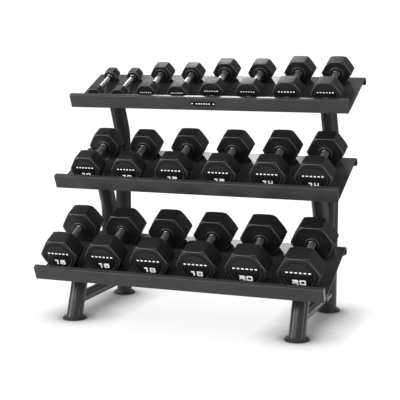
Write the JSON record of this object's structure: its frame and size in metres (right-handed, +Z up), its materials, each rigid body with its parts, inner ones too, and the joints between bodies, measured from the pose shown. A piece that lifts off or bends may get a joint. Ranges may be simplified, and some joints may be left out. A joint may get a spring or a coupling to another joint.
{
  "type": "dumbbell rack",
  "caption": "Free-standing rack of tilted folded-steel trays on two bent-tube side frames, loaded with hexagonal rubber-covered dumbbells that lift off.",
  "frame": {"origin": "middle of the footprint, on the floor", "axes": "+X along the trays, to the right as a person facing the rack sees it; +Y to the rear; +Z up"},
  "size_m": [1.26, 0.7014, 1.1206],
  "materials": {
    "powder_coat": "satin",
    "zinc_plate": "satin",
    "foot_rubber": "matte",
    "badge_black": "gloss",
    "rubber_coated_iron": "satin",
    "handle_chrome": "polished",
    "marking_white": "satin"
  },
  "bodies": {
    "frame": {"top_tray": "powder_coat", "middle_tray": "powder_coat", "bottom_tray": "powder_coat", "top_saddle_plate_left": "powder_coat", "top_saddle_plate_right": "powder_coat", "middle_saddle_plate_left": "powder_coat", "middle_saddle_plate_right": "powder_coat", "bottom_saddle_plate_left": "powder_coat", "bottom_saddle_plate_right": "powder_coat", "top_bolt_left_front": "zinc_plate", "top_bolt_left_rear": "zinc_plate", "top_bolt_right_front": "zinc_plate", "top_bolt_right_rear": "zinc_plate", "middle_bolt_left_front": "zinc_plate", "middle_bolt_left_rear": "zinc_plate", "middle_bolt_right_front": "zinc_plate", "middle_bolt_right_rear": "zinc_plate", "bottom_bolt_left_front": "zinc_plate", "bottom_bolt_left_rear": "zinc_plate", "bottom_bolt_right_front": "zinc_plate", "bottom_bolt_right_rear": "zinc_plate", "badge_plate": "badge_black", "rear_post_left": "powder_coat", "rear_post_right": "powder_coat", "middle_post_left": "powder_coat", "middle_post_right": "powder_coat", "front_leg_left": "powder_coat", "front_leg_right": "powder_coat", "side_rail_left": "powder_coat", "side_rail_right": "powder_coat", "foot_plate_front_left": "powder_coat", "foot_plate_front_right": "powder_coat", "foot_plate_rear_left": "powder_coat", "foot_plate_rear_right": "powder_coat", "foot_pad_front_left": "foot_rubber", "foot_pad_front_right": "foot_rubber", "foot_pad_rear_left": "foot_rubber", "foot_pad_rear_right": "foot_rubber"},
    "bell_2kg_left": {"dumbbell_2kg_left": "rubber_coated_iron"},
    "bell_2kg_right": {"dumbbell_2kg_right": "rubber_coated_iron"},
    "bell_4kg_left": {"dumbbell_4kg_left": "rubber_coated_iron"},
    "bell_4kg_right": {"dumbbell_4kg_right": "rubber_coated_iron"},
    "bell_6kg_left": {"dumbbell_6kg_left": "rubber_coated_iron"},
    "bell_6kg_right": {"dumbbell_6kg_right": "rubber_coated_iron"},
    "bell_8kg_left": {"dumbbell_8kg_left": "rubber_coated_iron"},
    "bell_8kg_right": {"dumbbell_8kg_right": "rubber_coated_iron"},
    "bell_10kg_left": {"dumbbell_10kg_left": "rubber_coated_iron"},
    "bell_10kg_right": {"dumbbell_10kg_right": "rubber_coated_iron"},
    "bell_12kg_left": {"dumbbell_12kg_left": "rubber_coated_iron"},
    "bell_12kg_right": {"dumbbell_12kg_right": "rubber_coated_iron"},
    "bell_14kg_left": {"dumbbell_14kg_left": "rubber_coated_iron"},
    "bell_14kg_right": {"dumbbell_14kg_right": "rubber_coated_iron"},
    "bell_16kg_left": {"dumbbell_16kg_left": "rubber_coated_iron"},
    "bell_16kg_right": {"dumbbell_16kg_right": "rubber_coated_iron"},
    "bell_18kg_left": {"dumbbell_18kg_left": "rubber_coated_iron"},
    "bell_18kg_right": {"dumbbell_18kg_right": "rubber_coated_iron"},
    "bell_20kg_left": {"dumbbell_20kg_left": "rubber_coated_iron"},
    "bell_20kg_right": {"dumbbell_20kg_right": "rubber_coated_iron"}
  },
  "joints": [
    {"name": "lift_2kg_left", "type": "slide", "parent": "frame", "child": "bell_2kg_left", "axis": [0, -0.7771, 0.6293], "range_m": [0, 0.25]},
    {"name": "lift_2kg_right", "type": "slide", "parent": "frame", "child": "bell_2kg_right", "axis": [0, -0.7771, 0.6293], "range_m": [0, 0.25]},
    {"name": "lift_4kg_left", "type": "slide", "parent": "frame", "child": "bell_4kg_left", "axis": [0, -0.7771, 0.6293], "range_m": [0, 0.25]},
    {"name": "lift_4kg_right", "type": "slide", "parent": "frame", "child": "bell_4kg_right", "axis": [0, -0.7771, 0.6293], "range_m": [0, 0.25]},
    {"name": "lift_6kg_left", "type": "slide", "parent": "frame", "child": "bell_6kg_left", "axis": [0, -0.7771, 0.6293], "range_m": [0, 0.25]},
    {"name": "lift_6kg_right", "type": "slide", "parent": "frame", "child": "bell_6kg_right", "axis": [0, -0.7771, 0.6293], "range_m": [0, 0.25]},
    {"name": "lift_8kg_left", "type": "slide", "parent": "frame", "child": "bell_8kg_left", "axis": [0, -0.7771, 0.6293], "range_m": [0, 0.25]},
    {"name": "lift_8kg_right", "type": "slide", "parent": "frame", "child": "bell_8kg_right", "axis": [0, -0.7771, 0.6293], "range_m": [0, 0.25]},
    {"name": "lift_10kg_left", "type": "slide", "parent": "frame", "child": "bell_10kg_left", "axis": [0, -0.7771, 0.6293], "range_m": [0, 0.25]},
    {"name": "lift_10kg_right", "type": "slide", "parent": "frame", "child": "bell_10kg_right", "axis": [0, -0.7771, 0.6293], "range_m": [0, 0.25]},
    {"name": "lift_12kg_left", "type": "slide", "parent": "frame", "child": "bell_12kg_left", "axis": [0, -0.7771, 0.6293], "range_m": [0, 0.25]},
    {"name": "lift_12kg_right", "type": "slide", "parent": "frame", "child": "bell_12kg_right", "axis": [0, -0.7771, 0.6293], "range_m": [0, 0.25]},
    {"name": "lift_14kg_left", "type": "slide", "parent": "frame", "child": "bell_14kg_left", "axis": [0, -0.7771, 0.6293], "range_m": [0, 0.25]},
    {"name": "lift_14kg_right", "type": "slide", "parent": "frame", "child": "bell_14kg_right", "axis": [0, -0.7771, 0.6293], "range_m": [0, 0.25]},
    {"name": "lift_16kg_left", "type": "slide", "parent": "frame", "child": "bell_16kg_left", "axis": [0, -0.7771, 0.6293], "range_m": [0, 0.25]},
    {"name": "lift_16kg_right", "type": "slide", "parent": "frame", "child": "bell_16kg_right", "axis": [0, -0.7771, 0.6293], "range_m": [0, 0.25]},
    {"name": "lift_18kg_left", "type": "slide", "parent": "frame", "child": "bell_18kg_left", "axis": [0, -0.7771, 0.6293], "range_m": [0, 0.25]},
    {"name": "lift_18kg_right", "type": "slide", "parent": "frame", "child": "bell_18kg_right", "axis": [0, -0.7771, 0.6293], "range_m": [0, 0.25]},
    {"name": "lift_20kg_left", "type": "slide", "parent": "frame", "child": "bell_20kg_left", "axis": [0, -0.7771, 0.6293], "range_m": [0, 0.25]},
    {"name": "lift_20kg_right", "type": "slide", "parent": "frame", "child": "bell_20kg_right", "axis": [0, -0.7771, 0.6293], "range_m": [0, 0.25]}
  ]
}
